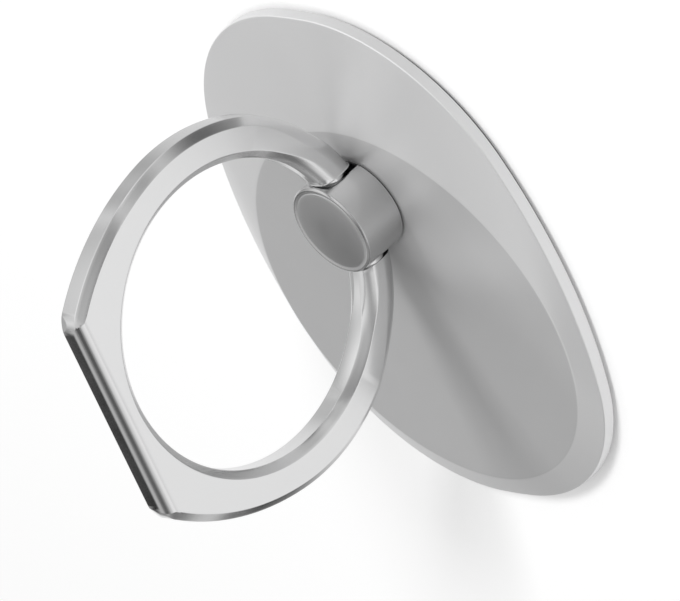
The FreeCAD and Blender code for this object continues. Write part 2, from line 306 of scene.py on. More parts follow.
def boolean(piece, other, operation):
    """Adds or cuts away another closed piece, which is used up."""
    select_only(piece)
    step = piece.modifiers.new(operation.lower(), "BOOLEAN")
    step.operation = operation
    step.solver = "EXACT"
    step.object = other
    bpy.ops.object.modifier_apply(modifier=step.name)
    bpy.data.objects.remove(other)


# Base plate and adhesive pad

def oval_turns():
    """Centre, angle and steps of each arc of the plate's oval, from its +X end round to it again."""
    out_x = math.cos(PLATE_END_TURN)
    out_y = math.sin(PLATE_END_TURN)
    side_y = PLATE_HALF.y - PLATE_SIDE_R
    meet_x = PLATE_HALF.x - PLATE_END_R * (1 - out_x)
    meet_y = PLATE_END_R * out_y
    reach = math.hypot(meet_x, meet_y - side_y)
    along = meet_x * out_x + (meet_y - side_y) * out_y
    radius = (PLATE_SIDE_R ** 2 - reach ** 2) / (2 * (PLATE_SIDE_R - along))
    x = meet_x - radius * out_x
    y = meet_y - radius * out_y
    side_meet = math.atan2(y - side_y, x)
    end = PLATE_HALF.x - PLATE_END_R
    corner = side_meet - PLATE_END_TURN
    side = math.pi - 2 * side_meet
    arcs = (
        (end, 0, PLATE_END_TURN, OVAL_END_STEPS),
        (x, y, corner, OVAL_CORNER_STEPS),
        (0, side_y, side, OVAL_SIDE_STEPS),
        (-x, y, corner, OVAL_CORNER_STEPS),
        (-end, 0, 2 * PLATE_END_TURN, 2 * OVAL_END_STEPS),
        (-x, -y, corner, OVAL_CORNER_STEPS),
        (0, -side_y, side, OVAL_SIDE_STEPS),
        (x, -y, corner, OVAL_CORNER_STEPS),
        (end, 0, PLATE_END_TURN, OVAL_END_STEPS),
    )
    return [(Vector((PLATE_CENTRE.x + cx, cy, 0)), angle, steps) for cx, cy, angle, steps in arcs]


def turn_oval():
    for centre, angle, steps in oval_turns():
        turn(angle, centre, Z, steps)


def turn_circle(centre):
    """A full circle in the same steps as the oval, so that the two can be bridged."""
    for _, angle, steps in oval_turns():
        turn(angle, centre, Z, steps)


def model_base_plate():
    """Oval wall, sloping border, round plateau, bore for the hub and recess for its rivet."""
    end_x = PLATE_CENTRE.x + PLATE_HALF.x
    wall = [
        (end_x - BACK_STRIP, 0, PLATE_BACK),
        (end_x, 0, PLATE_BACK),
        (end_x, 0, WALL_TOP),
    ]
    piece = start_piece("base_plate_casting", wall[0])
    draw(wall)
    turn_oval()

    add_point((PLATEAU_MIDDLE.x + PLATEAU_R, 0, PLATEAU))
    turn_circle(PLATEAU_MIDDLE)

    bore = [
        (BORE_R, 0, PLATEAU),
        (BORE_R, 0, RECESS_TOP),
        (RECESS_R, 0, RECESS_TOP),
        (RECESS_R, 0, PLATE_BACK),
    ]
    add_point(bore[0])
    draw(bore)
    turn_circle(ORIGIN)
    merge_doubles()

    def wall_top(co):
        return near(co.z, WALL_TOP)

    def plateau_edge(co):
        return near(co.z, PLATEAU) and on_circle(co, PLATEAU_MIDDLE, PLATEAU_R)

    def bore_top(co):
        return near(co.z, PLATEAU) and on_circle(co, ORIGIN, BORE_R)

    pick_edges(lambda co: wall_top(co) or plateau_edge(co))
    bpy.ops.mesh.bridge_edge_loops()
    pick_edges(lambda co: plateau_edge(co) or bore_top(co))
    bpy.ops.mesh.bridge_edge_loops()
    pick_edges(lambda co: near(co.z, PLATE_BACK), open_only=True)
    bpy.ops.mesh.bridge_edge_loops()

    pick_edges(plateau_edge)
    bevel(PLATEAU_BEVEL)
    pick_edges(wall_top)
    bevel(WALL_BEVEL)
    close_piece()
    return piece


def model_adhesive_pad():
    """Foam sheet that stops a little inside the plate's wall."""
    end_x = PLATE_CENTRE.x + PLATE_HALF.x - PAD_INSET
    edge = [(end_x, 0, PAD_LOW.z), (end_x, 0, PAD_HIGH.z)]
    piece = start_piece("adhesive_foam_pad", edge[0])
    draw(edge)
    turn_oval()
    merge_doubles()
    for height in (PAD_LOW.z, PAD_HIGH.z):
        pick_edges(lambda co: near(co.z, height), open_only=True)
        bpy.ops.mesh.edge_face_add()
    pick_edges(lambda co: near(co.z, PAD_LOW.z))
    bevel(PAD_BEVEL)
    close_piece()
    return piece


# Swivel hub

def panel_edge(co):
    """Where a point beside the notch goes on the panel's straight-sided outer edge."""
    side = 0.0 if near(co.y, 0) else math.copysign(1.0, co.y)
    up = co.z - HINGE
    if up < SAME_PLACE:
        return Vector((co.x, side * PANEL_HALF, co.z))
    reach = (PANEL_TOP - HINGE) / up
    if abs(co.y) * reach > PANEL_HALF:
        reach = PANEL_HALF / abs(co.y)
    return Vector((co.x, co.y * reach, HINGE + up * reach))


def notch_foot():
    """The notch's wall, its rounded edge and a strip beside it, at the foot of the barrel's +X side."""
    foot = [Vector((HUB_R - NOTCH_DEEP, -SLOT_HALF, HUB_BASE))]
    for step in range(NOTCH_ROUND_STEPS + 1):
        a = QUARTER_TURN * step / NOTCH_ROUND_STEPS
        x = HUB_R - NOTCH_ROUND * (1 - math.sin(a))
        y = -SLOT_HALF - NOTCH_ROUND * (1 - math.cos(a))
        foot.append(Vector((x, y, HUB_BASE)))
    foot.append(Vector((HUB_R, -SLOT_HALF - NOTCH_MARGIN, HUB_BASE)))
    return foot


def draw_notch_panel():
    """The notch and the wall beside it: drawn flat, arched over the pin, then bent round the barrel."""
    foot = notch_foot()
    piece = start_piece("hub_barrel", foot[0])
    draw(foot)
    rise = (HINGE - HUB_BASE) / NOTCH_RISE_STEPS
    for _ in range(NOTCH_RISE_STEPS):
        extrude((0, 0, rise))
    turn(-math.pi, Vector((0, 0, HINGE)), X, NOTCH_ARCH_STEPS)
    for _ in range(NOTCH_RISE_STEPS):
        extrude((0, 0, -rise))
    merge_doubles()

    margin = SLOT_HALF + NOTCH_MARGIN

    def on_margin(co):
        if co.z < HINGE:
            return near(abs(co.y), margin)
        return near(math.hypot(co.y, co.z - HINGE), margin)

    pick_edges(on_margin)
    for share in PANEL_SHARES:
        extrude((0, 0, 0))
        for point in bmesh.from_edit_mesh(piece.data).verts:
            if point.select:
                point.co = point.co.lerp(panel_edge(point.co), share)
        bmesh.update_edit_mesh(piece.data)

    for point in bmesh.from_edit_mesh(piece.data).verts:
        point.co.x += math.sqrt(HUB_R ** 2 - point.co.y ** 2) - HUB_R
    bmesh.update_edit_mesh(piece.data)
    return piece


def hub_front_profile():
    """Radius and height of each loop from the wall over the sloped rim to the middle of the crowned face."""
    crown = [(r, CROWN_DEEP * (r / CROWN_R) ** 2) for r in CROWN_RADII]
    return [(r * MM, HUB_TOP - depth * MM) for r, depth in list(RIM_PROFILE) + crown]


def model_hub_barrel():
    """Round barrel with a slot across it, open towards the plate, and a crowned face inside a sloped rim."""
    piece = draw_notch_panel()
    pick_edges(lambda co: near(co.y, PANEL_HALF) and co.x > 0)
    turn(math.pi - 2 * math.asin(PANEL_HALF / HUB_R), ORIGIN, Z, BARREL_STEPS)
    bpy.ops.mesh.select_all(action="SELECT")
    bpy.ops.mesh.duplicate()
    bpy.ops.transform.rotate(value=math.pi, orient_axis="Z", center_override=(0, 0, 0))
    merge_doubles()

    pick_edges(lambda co: near(co.z, PANEL_TOP))
    radius = HUB_R
    height = PANEL_TOP
    for next_radius, next_height in hub_front_profile():
        extrude((0, 0, next_height - height))
        factor = next_radius / radius
        bpy.ops.transform.resize(value=(factor, factor, 1), center_override=(0, 0, 0))
        radius = next_radius
        height = next_height
    bpy.ops.mesh.edge_face_add()

    notch_inside = math.sqrt(HUB_R ** 2 - SLOT_HALF ** 2) - NOTCH_DEEP

    def slot_mouth(co):
        on_line = near(abs(co.y), SLOT_HALF) and co.z <= HINGE
        on_arch = near(math.hypot(co.y, co.z - HINGE), SLOT_HALF)
        return (on_line or on_arch) and abs(co.x) < notch_inside + NOTCH_DEEP * 2 / 3

    pick_edges(slot_mouth, open_only=True)
    bpy.ops.mesh.bridge_edge_loops()
    for side in (-1, 1):
        pick_edges(lambda co: near(co.z, HUB_BASE) and co.y * side > 0, open_only=True)
        bpy.ops.mesh.edge_face_add()
    close_piece()
    return piece


def half_post(name, side, radius, low, high):
    """Half of a round post, cut flat where the slot runs, on the +Y or -Y side."""
    deselect()
    bpy.ops.mesh.primitive_cylinder_add(
        vertices=LEG_SIDES, radius=radius, depth=high - low, location=(0, 0, (high + low) / 2))
    post = bpy.context.object
    post.name = name
    bpy.ops.object.transform_apply(location=True)
    bpy.ops.object.mode_set(mode="EDIT")
    bpy.ops.mesh.select_all(action="SELECT")
    bpy.ops.mesh.bisect(
        plane_co=(0, side * SLOT_HALF, 0), plane_no=(0, side, 0), use_fill=True, clear_inner=True)
    pick_edges(lambda co: near(co.z, low) or near(co.z, high))
    bevel(LEG_BEVEL, LEG_BEVEL_STEPS)
    close_piece()
    return post


def model_hub_legs():
    """The two legs that pass through the plate, with their riveted ends."""
    parts = []
    for side in (-1, 1):
        parts.append(half_post("leg", side, LEG_R, RIVET_TOP, HUB_BASE))
        parts.append(half_post("rivet", side, RIVET_R, HUB_LOW.z, RIVET_TOP))
    select_only(parts[0])
    for part in parts:
        part.select_set(True)
    bpy.ops.object.join()
    parts[0].name = "hub_rivet_legs"
    return parts[0]


# Finger ring

def softening(angle, limits):
    """0 where the ring's edge is still sloped, 1 where the rod is fully round."""
    start, end = limits
    t = min(1.0, max(0.0, (start - angle) / (start - end)))
    return t * t * (3 - 2 * t)


def between(first, last, share):
    return first + (last - first) * share


def at_hole(radius, angle):
    """Point in the ring's middle plane at a radius, and an angle round the hole from the hub."""
    return Vector((radius * math.sin(angle), 0, HOLE_Z - radius * math.cos(angle)))


def edge_points(on_wall, on_face, tip, soft, wall_step, face_step):
    """Nine points over one long edge: a broken corner, the slope and a broken corner again.

    tip is where the wall and the face would meet, and soft bends the slope towards it."""
    halfway = (on_wall + on_face) / 2
    pole = between(halfway, tip, soft)

    def slope(t):
        return on_wall * (1 - t) ** 2 + pole * (2 * t * (1 - t)) + on_face * t * t

    share = EDGE_BREAK / (on_face - on_wall).length
    before = on_wall + wall_step
    after = on_face + face_step
    first = slope(share)
    last = slope(1 - share)
    corner_in = before / 4 + on_wall / 2 + first / 4
    corner_out = last / 4 + on_face / 2 + after / 4
    return [before, corner_in, first] + [slope(t) for t in SLOPE_SHARES] + [last, corner_out, after]


def ring_section(outer_wall, outer_faces, outer_soft, inner_wall, inner_faces, inner_soft):
    """Closed loop of points round the ring's section.

    Each wall, and each face's end under FRONT and BACK, is a point in the ring's middle plane."""
    outer_deep = between(EDGE_DEEP, ROD_SOFT_DEEP, outer_soft)
    inner_deep = between(EDGE_DEEP, ROD_SOFT_DEEP, inner_soft)
    points = []
    for side in (BACK, FRONT):
        face = Y * side * HALF_THICK
        outwards = (outer_faces[side] - inner_faces[side]).normalized() * EDGE_BREAK
        wall_step = -Y * side * EDGE_BREAK
        inside = edge_points(
            inner_wall + Y * side * (HALF_THICK - inner_deep), inner_faces[side] + face,
            inner_wall + face, inner_soft, wall_step, outwards)
        outside = edge_points(
            outer_wall + Y * side * (HALF_THICK - outer_deep), outer_faces[side] + face,
            outer_wall + face, outer_soft, wall_step, -outwards)
        if side == BACK:
            points += inside + outside[::-1]
        else:
            points += outside + inside[::-1]
    return points


def both_faces(point):
    return {FRONT: point, BACK: point}


def rod_section(angle):
    """Section between the flat ring and the hub, rounder towards the hub."""
    outer_soft = softening(angle, OUTER_SOFTENS)
    inner_soft = softening(angle, INNER_SOFTENS)
    outer_r = RING_R - ROD_THIN * outer_soft
    outer_face = at_hole(outer_r - between(EDGE_RADIAL, ROD_SOFT_OUTER, outer_soft), angle)
    inner_face = at_hole(HOLE_R + between(EDGE_RADIAL, ROD_SOFT_INNER, inner_soft), angle)
    return ring_section(
        at_hole(outer_r, angle), both_faces(outer_face), outer_soft,
        at_hole(HOLE_R, angle), both_faces(inner_face), inner_soft)


def shoulder_section():
    """The rod's end, slid round the ring onto the flat beside the hub."""
    points = []
    for point in rod_section(ROD_TO):
        radius = math.hypot(point.x, point.z - HOLE_Z)
        points.append(Vector((SHOULDER, point.y, HOLE_Z - math.sqrt(radius ** 2 - SHOULDER ** 2))))
    return points


def outline(inset):
    """Centre and radius of the ring's side arc, its corner's centre, and the angle where the two meet.

    inset moves the round sides inwards and leaves the straight end where it is."""
    side_r = RING_SIDE_R - inset
    towards = Vector((math.sin(RING_SIDE_START), math.cos(RING_SIDE_START)))
    side = towards * (RING_R - RING_SIDE_R)
    corner_up = FLAT_FROM_CENTRE - RING_CORNER_R
    corner_out = side.x + math.sqrt((side_r - RING_CORNER_R) ** 2 - (corner_up - side.y) ** 2)
    meet = math.atan2(corner_out - side.x, corner_up - side.y)
    return side, side_r, Vector((corner_out, corner_up)), meet


def outline_stations(inset):
    """Points of the outline with the direction outwards, from the rod round to the flat end's middle."""
    side, side_r, corner, meet = outline(inset)
    round_end = math.pi - ROD_FROM
    stations = []
    for i in range(RING_ROUND_STEPS):
        angle = between(round_end, RING_SIDE_START, i / RING_ROUND_STEPS)
        stations.append((Vector((0, 0)), RING_R - inset, angle))
    for i in range(RING_SIDE_STEPS):
        stations.append((side, side_r, between(RING_SIDE_START, meet, i / RING_SIDE_STEPS)))
    for i in range(RING_CORNER_STEPS + 1):
        stations.append((corner, RING_CORNER_R, between(meet, 0, i / RING_CORNER_STEPS)))
    points = []
    for centre, radius, angle in stations:
        out = Vector((math.sin(angle), math.cos(angle)))
        points.append((centre + out * radius, out))
    last = points[-1][0]
    for share in FLAT_SHARES:
        points.append((Vector((last.x * (1 - share), last.y)), Vector((0, 1))))
    return points


def lifted(flat):
    """A point of the outline's plane as a point of the model."""
    return Vector((flat.x, 0, HOLE_Z + flat.y))


def band_sections():
    """Sections of the flat ring from the rod to the middle of the straight end."""
    walls = outline_stations(0)
    fronts = outline_stations(EDGE_RADIAL)
    sections = []
    for i, ((wall, out), (front, _)) in enumerate(zip(walls, fronts)):
        angle = between(ROD_FROM, math.pi, i / (len(walls) - 1))
        outer_faces = {FRONT: lifted(front), BACK: lifted(wall - out * EDGE_RADIAL)}
        inner_faces = both_faces(at_hole(HOLE_R + EDGE_RADIAL, angle))
        sections.append(ring_section(
            lifted(wall), outer_faces, 0.0, at_hole(HOLE_R, angle), inner_faces, 0.0))
    return sections


def mirror_x(point):
    return Vector((-point.x, point.y, point.z))


def skin(name, sections):
    """A closed tube through sections of equal count, with both ends capped, being edited."""
    count = len(sections[0])
    points = [point for section in sections for point in section]
    faces = []
    for i in range(len(sections) - 1):
        for j in range(count):
            k = (j + 1) % count
            faces.append((i * count + j, i * count + k, (i + 1) * count + k, (i + 1) * count + j))
    faces.append(tuple(range(count)))
    faces.append(tuple(range(len(points) - count, len(points))))
    mesh = bpy.data.meshes.new(name)
    mesh.from_pydata(points, [], faces)
    piece = bpy.data.objects.new(name, mesh)
    bpy.context.scene.collection.objects.link(piece)
    select_only(piece)
    bpy.ops.object.mode_set(mode="EDIT")
    return piece


def flat_end_cutter():
    """What the large round takes off the front edge of the straight end."""
    centre_y = FLAT_ROUND - HALF_THICK
    centre_z = FLAT_END - FLAT_ROUND
    past_y = -HALF_THICK - CUT_PAST
    past_z = FLAT_END + CUT_PAST
    line = [Vector((-CUT_REACH, past_y, centre_z))]
    for i in range(FLAT_ROUND_STEPS + 1):
        a = QUARTER_TURN * i / FLAT_ROUND_STEPS
        y = centre_y - FLAT_ROUND * math.cos(a)
        z = centre_z + FLAT_ROUND * math.sin(a)
        line.append(Vector((-CUT_REACH, y, z)))
    line.append(Vector((-CUT_REACH, centre_y, past_z)))
    line.append(Vector((-CUT_REACH, past_y, past_z)))
    cutter = start_piece("flat_end_cutter", line[0])
    draw(line)
    bpy.ops.mesh.edge_face_add()
    extrude((2 * CUT_REACH, 0, 0))
    close_piece()
    return cutter


def corner_facet_cutter(side):
    """A block that takes a small flat off the back part of one corner, and the way the flat faces."""
    _, _, corner, meet = outline(0)
    deselect()
    bpy.ops.mesh.primitive_cube_add(size=1, location=(0, 0, 0))
    cutter = bpy.context.object
    place = Matrix.Translation((side * corner.x, 0, HOLE_Z + corner.y))
    turned = Matrix.Rotation(side * meet / 2, 4, "Y")
    start = Matrix.Translation((0, FACET_FROM, RING_CORNER_R))
    tilt = Matrix.Rotation(-FACET_TILT, 4, "X")
    lift = Matrix.Translation((0, 0, FACET_BLOCK.z / 2))
    cutter.data.transform(place @ turned @ start @ tilt @ lift @ Matrix.Diagonal(FACET_BLOCK.to_4d()))
    return cutter, (turned @ tilt).to_3x3() @ Z


def crisp_facet(piece, facing):
    """Marks the border of a small flat as sharp, so that smooth shading leaves it flat."""
    select_only(piece)
    bpy.ops.object.mode_set(mode="EDIT")
    bpy.ops.mesh.select_mode(type="FACE")
    bpy.ops.mesh.select_all(action="DESELECT")
    for face in bmesh.from_edit_mesh(piece.data).faces:
        if face.normal.dot(facing) > SAME_FACING:
            face.select_set(True)
    bmesh.update_edit_mesh(piece.data)
    bpy.ops.mesh.region_to_loop()
    bpy.ops.mesh.mark_sharp()
    bpy.ops.object.mode_set(mode="OBJECT")


def hinge_pin():
    """The part of the rod that runs through the hub."""
    deselect()
    bpy.ops.mesh.primitive_cylinder_add(
        vertices=PIN_SIDES, radius=PIN_R, depth=2 * (SHOULDER + PIN_PAST),
        location=(0, 0, HINGE), rotation=(0, QUARTER_TURN, 0))
    bpy.ops.object.transform_apply(location=True, rotation=True)
    return bpy.context.object


def model_finger_ring():
    """Flat ring with sloped edges and a straight end, turning into a round rod through the hub."""
    rod = [rod_section(between(ROD_TO, ROD_FROM, i / ROD_STEPS)) for i in range(ROD_STEPS)]
    half = [shoulder_section()] + rod + band_sections()
    other_half = [[mirror_x(point) for point in section] for section in half[-2::-1]]
    piece = skin("finger_ring_band", half + other_half)
    pick_edges(lambda co: near(abs(co.x), SHOULDER))
    bevel(SHOULDER_BEVEL)
    close_piece()
    boolean(piece, hinge_pin(), "UNION")
    boolean(piece, flat_end_cutter(), "DIFFERENCE")
    for side in (-1, 1):
        cutter, facing = corner_facet_cutter(side)
        boolean(piece, cutter, "DIFFERENCE")
        crisp_facet(piece, facing)
    return piece


# Material helpers

def new_material(name):
    material = bpy.data.materials.new(name)
    material.use_nodes = True
    tree = material.node_tree
    return material, tree, tree.nodes["Principled BSDF"]


def bare_material(name, kind):
    """A material of one shader of some kind and nothing else."""
    material = bpy.data.materials.new(name)
    material.use_nodes = True
    tree = material.node_tree
    tree.nodes.clear()
    shader = tree.nodes.new(kind)
    out = tree.nodes.new("ShaderNodeOutputMaterial")
    tree.links.new(shader.outputs[0], out.inputs["Surface"])
    return material, tree, shader


def feed(tree, step, values):
    """Gives a node's inputs in turn a number, a vector or another node's output."""
    for socket, value in zip(step.inputs, values):
        if isinstance(value, bpy.types.NodeSocket):
            tree.links.new(value, socket)
        else:
            socket.default_value = value


def maths(tree, operation, *values):
    step = tree.nodes.new("ShaderNodeMath")
    step.operation = operation
    feed(tree, step, values)
    return step.outputs[0]


def vector_maths(tree, operation, *values):
    step = tree.nodes.new("ShaderNodeVectorMath")
    step.operation = operation
    feed(tree, step, values)
    return step.outputs


def tinted(tree, colour, factor):
    """A colour times a factor."""
    step = tree.nodes.new("ShaderNodeVectorMath")
    step.operation = "SCALE"
    tree.links.new(colour, step.inputs[0])
    tree.links.new(factor, step.inputs["Scale"])
    return step.outputs["Vector"]


def spread(tree, value, from_min, from_max, to_min=0.0, to_max=1.0):
    """Moves a value evenly from one range to another, and stops at the ends."""
    step = tree.nodes.new("ShaderNodeMapRange")
    step.inputs["From Min"].default_value = from_min
    step.inputs["From Max"].default_value = from_max
    step.inputs["To Min"].default_value = to_min
    step.inputs["To Max"].default_value = to_max
    tree.links.new(value, step.inputs["Value"])
    return step.outputs["Result"]


def noise(tree, place, scale, detail):
    pattern = tree.nodes.new("ShaderNodeTexNoise")
    pattern.inputs["Scale"].default_value = scale
    pattern.inputs["Detail"].default_value = detail
    tree.links.new(place, pattern.inputs["Vector"])
    return pattern.outputs["Fac"]


def mixed(tree, factor, first, second):
    """A colour between two others."""
    mix = tree.nodes.new("ShaderNodeMix")
    mix.data_type = "RGBA"
    mix.inputs["A"].default_value = (*first, 1)
    mix.inputs["B"].default_value = (*second, 1)
    tree.links.new(factor, mix.inputs["Factor"])
    return mix.outputs["Result"]


def object_place(tree):
    return tree.nodes.new("ShaderNodeTexCoord").outputs["Object"]


def off_axis(tree, centre):
    """How far a point is from an upright line through a centre."""
    flat = vector_maths(tree, "MULTIPLY", object_place(tree), (1, 1, 0))["Vector"]
    return vector_maths(tree, "DISTANCE", flat, centre)["Value"]


def soft_spot(tree, place, centre, half_width):
    """1 at a centre, fading to 0 all round it."""
    gap = vector_maths(tree, "DISTANCE", place, centre)["Value"]
    square = maths(tree, "POWER", gap, 2.0)
    return maths(tree, "EXPONENT", maths(tree, "MULTIPLY", square, -0.5 / half_width ** 2))


def dress(piece, material):
    piece.data.materials.clear()
    piece.data.materials.append(material)


# Materials of the pieces

# Plated metal: grain from the blasting, marks from handling, and folds polished smoother, with a painted
# highlight along them
GRAIN_DETAIL = 4
GRAIN_ROUGHNESS = 0.06
GRAIN_HIGH = 0.005 * MM
GRAIN_DARK = (0.98, 0.98, 0.985)
GRAIN_LIGHT = (1.02, 1.02, 1.02)
MARKS_SCALE = 420
MARKS_DETAIL = 3
MARKS_ROUGHNESS = 0.06
# Along the folds: the mask's width and where it is full, the smoother polish, and a painted highlight that
# brightens the colour
EDGE_MASK_WIDTH = 0.05 * MM
EDGE_MASK_FULL = 0.90
EDGE_POLISH = 0.05
PAINTED_EDGE_HIGHLIGHT = 0.05

# Where the plateau's painted shade meets the border's painted sheen, and where the hub's front face, duller
# and with painted light, ends
PLATEAU_LINE_IN = 0.06 * MM
PLATEAU_LINE_OUT = 0.02 * MM
FACE_R = 3.42 * MM
FACE_FADE = 0.38 * MM
FACE_LOW = HUB_TOP - 0.3 * MM

# Foam and nylon
MOTTLE_DETAIL = 2
MOTTLE = 0.2


def edge_highlight_mask(tree):
    """1 along the folds of a piece and 0 a little way off them: where the edges are polished and a highlight
    is painted.
    """
    rounded = tree.nodes.new("ShaderNodeBevel")
    rounded.samples = 4
    rounded.inputs["Radius"].default_value = EDGE_MASK_WIDTH
    surface = tree.nodes.new("ShaderNodeNewGeometry")
    likeness = vector_maths(tree, "DOT_PRODUCT", rounded.outputs["Normal"], surface.outputs["Normal"])
    return spread(tree, likeness["Value"], 1.0, EDGE_MASK_FULL)


def satin_steel(name, shade, roughness, grain_scale, bump, metal=1.0):
    """Bead-blasted, plated metal: fine even grain, faint handling marks, and edges polished smoother with a
    painted highlight.
    """
    material, tree, shader = new_material(name)
    shader.inputs["Metallic"].default_value = metal
    place = object_place(tree)
    grain = noise(tree, place, grain_scale, GRAIN_DETAIL)
    marks = noise(tree, place, MARKS_SCALE, MARKS_DETAIL)
    along_edges = edge_highlight_mask(tree)

    tone = spread(tree, grain, 0.0, 1.0, roughness - GRAIN_ROUGHNESS, roughness)
    handled = maths(tree, "MULTIPLY_ADD", marks, MARKS_ROUGHNESS, tone)
    polished = maths(tree, "MULTIPLY_ADD", along_edges, -EDGE_POLISH, handled)
    tree.links.new(polished, shader.inputs["Roughness"])

    dark = [shade * part for part in GRAIN_DARK]
    light = [shade * part for part in GRAIN_LIGHT]
    # Painted highlight: the colour is made paler along the edges
    painted_lighter = maths(tree, "MULTIPLY_ADD", along_edges, PAINTED_EDGE_HIGHLIGHT, 1.0)
    colour = tinted(tree, mixed(tree, grain, dark, light), painted_lighter)
    tree.links.new(colour, shader.inputs["Base Color"])

    rough = tree.nodes.new("ShaderNodeBump")
    rough.inputs["Strength"].default_value = bump
    rough.inputs["Distance"].default_value = GRAIN_HIGH
    tree.links.new(grain, rough.inputs["Height"])
    tree.links.new(rough.outputs["Normal"], shader.inputs["Normal"])
    return material


def plateau_shade_border_sheen(material, inside, outside):
    """Paints shade on the plateau by darkening the metal's colour inside its edge, and a sheen on the sloped
    border by brightening it outside.
    """
    tree = material.node_tree
    base = tree.nodes["Principled BSDF"].inputs["Base Color"]
    reach = off_axis(tree, PLATEAU_MIDDLE)
    factor = spread(
        tree, reach, PLATEAU_R - PLATEAU_LINE_IN, PLATEAU_R + PLATEAU_LINE_OUT, inside, outside)
    tree.links.new(tinted(tree, base.links[0].from_socket, factor), base)


def duller_face_with_painted_light(material, roughness, face_painted_light):
    """Gives the hub's round front face a duller finish than its polished wall and rim, and paints light on it
    by making its colour paler.
    """
    tree = material.node_tree
    shader = tree.nodes["Principled BSDF"]
    base = shader.inputs["Base Color"]
    tone = shader.inputs["Roughness"]
    axes = tree.nodes.new("ShaderNodeSeparateXYZ")
    tree.links.new(object_place(tree), axes.inputs[0])
    inside = spread(tree, off_axis(tree, ORIGIN), FACE_R, FACE_R - FACE_FADE)
    above = maths(tree, "GREATER_THAN", axes.outputs["Z"], FACE_LOW)
    face = maths(tree, "MULTIPLY", inside, above)
    duller = maths(tree, "MULTIPLY_ADD", face, roughness, tone.links[0].from_socket)
    tree.links.new(duller, tone)
    # Painted light: the face's colour is made paler than the wall's and rim's
    painted_lighter = maths(tree, "MULTIPLY_ADD", face, face_painted_light - 1, 1.0)
    tree.links.new(tinted(tree, base.links[0].from_socket, painted_lighter), base)


def plain_material(name, colour, roughness, grain_scale):
    """Foam or nylon: dull, with a fine mottle."""
    material, tree, shader = new_material(name)
    grain = noise(tree, object_place(tree), grain_scale, MOTTLE_DETAIL)
    dark = [part * (1 - MOTTLE) for part in colour]
    light = [part * (1 + MOTTLE) for part in colour]
    tree.links.new(mixed(tree, grain, dark, light), shader.inputs["Base Color"])
    shader.inputs["Roughness"].default_value = roughness
    return material


# Camera, light and stage

CAMERA_AIM = Vector((-5.18, 1.05, 6.76)) * MM
CAMERA_AZIMUTH = math.radians(30.0)
CAMERA_ELEVATION = math.radians(28.82)
CAMERA_ROLL = math.radians(-131.3)
CAMERA_FAR = 1329.1 * MM
CAMERA_LENS = 1033.6
CAMERA_SENSOR = 36
CAMERA_NEAREST = 0.01
CAMERA_FARTHEST = 10

FLOOR_SIZE = 6
FLOOR_DROP = 0.02 * MM
FLOOR_GREY = 0.94
FLOOR_LIFT = 0.16
WORLD_LIGHT = 0.58

# Soft boxes and dark cards round the object: azimuth, elevation and half width in degrees, and brightness
STUDIO_R = 2.5
STUDIO_LEVEL = 0.351
STUDIO_PATCHES = (
    (-36, 33, 11, -0.32),
    (-31, 28, 5, -0.18),
    (-42, 51, 8, 0.25),
    (-16, 10, 12, 0.24),
    (-50, 8, 16, -0.05),
    (-72, 38, 14, 0.22),
    (-110, -6, 19, -0.28),
    (-118, 68, 13, -0.25),
    (-151, 9, 17, 0.70),
    (-150, 30, 11, 0.20),
    (86, 41, 30, 0.78),
    (6, 70, 10, 0.33),
    (131, -6, 18, -0.25),
    (212, 59, 13, -0.22),
    (12, 41, 8, 0.45),
    (48, 20, 13, 0.34),
)

# Dark cards on the floor: place and half width in mm, and how much each takes away
CARDS_SIZE = 2.0
FLOOR_CARDS = (
    (23, -8, 12, 0.81),
    (70, 72, 34, 0.30),
    (115, 120, 50, 0.45),
    (70, -42, 24, 0.55),
    (130, -85, 45, 0.45),
    (230, -175, 80, 0.50),
    (-55, 8, 14, 0.76),
    (-85, 10, 14, 0.72),
    (-140, 12, 32, 0.95),
    (33, 36, 15, 0.42),
)


def way(azimuth, elevation):
    """Unit vector from degrees, the azimuth from +Y towards +X."""
    az = math.radians(azimuth)
    el = math.radians(elevation)
    return Vector((math.sin(az) * math.cos(el), math.cos(az) * math.cos(el), math.sin(el)))


def add_camera():
    """The photograph's view: from far off with a long lens, and rolled over."""
    data = bpy.data.cameras.new("camera")
    camera = bpy.data.objects.new("camera", data)
    bpy.context.scene.collection.objects.link(camera)
    back = Vector((
        math.sin(CAMERA_AZIMUTH) * math.cos(CAMERA_ELEVATION),
        -math.cos(CAMERA_AZIMUTH) * math.cos(CAMERA_ELEVATION),
        math.sin(CAMERA_ELEVATION),
    ))
    level = Vector((math.cos(CAMERA_AZIMUTH), math.sin(CAMERA_AZIMUTH), 0))
    upright = back.cross(level)
    right = level * math.cos(CAMERA_ROLL) + upright * math.sin(CAMERA_ROLL)
    up = back.cross(right)
    turned = Matrix((right, up, back)).transposed().to_4x4()
    camera.matrix_world = Matrix.Translation(CAMERA_AIM + back * CAMERA_FAR) @ turned
    data.lens = CAMERA_LENS
    data.sensor_width = CAMERA_SENSOR
    data.clip_start = CAMERA_NEAREST
    data.clip_end = CAMERA_FARTHEST
    bpy.context.scene.camera = camera


def seen_directly(tree):
    """1 for the camera, and for what it sees in metal or through glass."""
    path = tree.nodes.new("ShaderNodeLightPath")
    seen = maths(tree, "MAXIMUM", path.outputs["Is Camera Ray"], path.outputs["Is Glossy Ray"])
    return maths(tree, "MAXIMUM", seen, path.outputs["Is Transmission Ray"])


